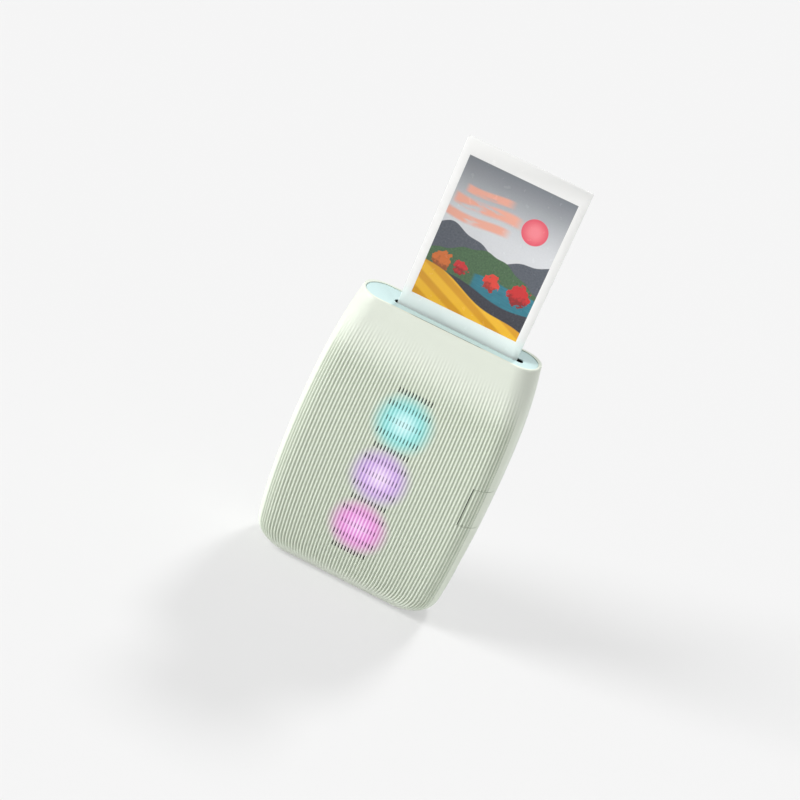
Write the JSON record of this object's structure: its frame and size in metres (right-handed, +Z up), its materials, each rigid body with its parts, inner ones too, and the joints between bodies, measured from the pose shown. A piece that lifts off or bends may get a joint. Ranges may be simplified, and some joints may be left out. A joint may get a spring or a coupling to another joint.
{
  "type": "instant photo printer",
  "caption": "Small upright instant-film photo printer with a finely ribbed front lit from behind, a film slot in its top cap, a print standing out of it, and a hinged film door at the back.",
  "frame": {"origin": "middle of the footprint, on the surface that the printer stands on", "axes": "+Z up towards the film slot, -Y out of the ribbed front, +X to the right seen from the front"},
  "size_m": [0.09, 0.0373, 0.2005],
  "materials": {
    "shell": "satin moulded",
    "cap": "satin moulded",
    "dark_plastic": "matt moulded",
    "grey_plastic": "matt moulded",
    "white_plastic": "matt moulded",
    "gear_plastic": "natural acetal",
    "steel": "bright sheet steel",
    "brass": "turned",
    "film": "glossy print",
    "board": "solder resist",
    "chip": "moulded epoxy",
    "cell": "foil pouch",
    "diffuser": "frosted",
    "light_cyan": "lit",
    "light_violet": "lit",
    "light_pink": "lit"
  },
  "bodies": {
    "housing": {"front_shell": "shell", "rear_cover": "shell", "top_cap": "cap", "chassis": "dark_plastic", "roller_frame": "steel", "roller_bushes": "brass", "roller_pressure_springs": "steel", "print_head": "dark_plastic", "print_head_lens": "diffuser", "drive_motor": "steel", "gear_pins": "steel", "main_board": "board", "board_chips": "chip", "battery": "cell", "light_board": "board", "light_upper": "light_cyan", "light_middle": "light_violet", "light_lower": "light_pink", "light_diffuser": "diffuser", "light_box": "white_plastic", "charging_socket": "steel", "reset_switch": "chip", "key_board": "board", "key_switch": "chip", "chassis_screws": "steel", "hinge_pins": "steel", "film_pack_shell": "dark_plastic", "film_stack": "film", "claw_spring": "steel"},
    "print": {"film_print": "film"},
    "front_roller": {"front_roller": "steel", "front_roller_gear": "gear_plastic"},
    "rear_roller": {"rear_roller": "steel", "rear_roller_gear": "gear_plastic"},
    "upper_idler": {"upper_idler_gear": "gear_plastic"},
    "lower_idler": {"lower_idler_gear": "gear_plastic"},
    "motor_rotor": {"motor_pinion": "brass", "motor_shaft": "steel"},
    "door": {"film_door": "shell", "door_inner_plate": "dark_plastic", "film_press_springs": "steel", "latch_spring": "steel"},
    "latch": {"door_latch": "cap"},
    "power_key": {"power_key": "shell"},
    "reset_button": {"reset_button": "grey_plastic"},
    "film_claw": {"film_claw": "steel"}
  },
  "joints": [
    {"name": "film_slide", "type": "slide", "parent": "housing", "child": "print", "axis": [0, 0, 1], "range_m": [-0.082, 0.002]},
    {"name": "front_roller_spin", "type": "hinge", "parent": "housing", "child": "front_roller", "pos_m": [0, -0.0052, 0.118], "axis": [1, 0, 0], "range_deg": [-1710, 42]},
    {"name": "rear_roller_spin", "type": "hinge", "parent": "housing", "child": "rear_roller", "pos_m": [0, 0.0008, 0.118], "axis": [1, 0, 0], "range_deg": [-42, 1710]},
    {"name": "upper_idler_spin", "type": "hinge", "parent": "housing", "child": "upper_idler", "pos_m": [0, -0.005, 0.1085], "axis": [1, 0, 0], "range_deg": [-20, 790]},
    {"name": "lower_idler_spin", "type": "hinge", "parent": "housing", "child": "lower_idler", "pos_m": [0, -0.0055, 0.09451], "axis": [1, 0, 0], "range_deg": [-684, 17]},
    {"name": "motor_spin", "type": "hinge", "parent": "housing", "child": "motor_rotor", "pos_m": [0, -0.01, 0.08502], "axis": [1, 0, 0], "range_deg": [-42, 1710]},
    {"name": "film_door_hinge", "type": "hinge", "parent": "housing", "child": "door", "pos_m": [0, 0.01259, 0.0122], "axis": [-1, 0, 0], "range_deg": [0, 90]},
    {"name": "latch_slide", "type": "slide", "parent": "door", "child": "latch", "axis": [0, 0, -1], "range_m": [0, 0.0022], "stiffness_N_per_m": 400, "springref_m": -0.0005, "deforming": ["latch_spring"]},
    {"name": "power_key_press", "type": "slide", "parent": "housing", "child": "power_key", "axis": [-1, 0, 0], "range_m": [0, 0.0003], "stiffness_N_per_m": 1500, "springref_m": -0.0002},
    {"name": "reset_press", "type": "slide", "parent": "housing", "child": "reset_button", "axis": [1, 0, 0], "range_m": [0, 0.0003], "stiffness_N_per_m": 1500, "springref_m": -0.0002},
    {"name": "claw_slide", "type": "slide", "parent": "housing", "child": "film_claw", "axis": [0, 0, 1], "range_m": [0, 0.008], "stiffness_N_per_m": 60, "springref_m": -0.003, "deforming": ["claw_spring"]}
  ],
  "couplings": [
    {"joint": "front_roller_spin", "follows": "film_slide", "rad_per_m": 363.64},
    {"joint": "rear_roller_spin", "follows": "film_slide", "rad_per_m": -363.64},
    {"joint": "upper_idler_spin", "follows": "film_slide", "rad_per_m": -167.83},
    {"joint": "lower_idler_spin", "follows": "film_slide", "rad_per_m": 145.45},
    {"joint": "motor_spin", "follows": "film_slide", "rad_per_m": -363.64}
  ]
}
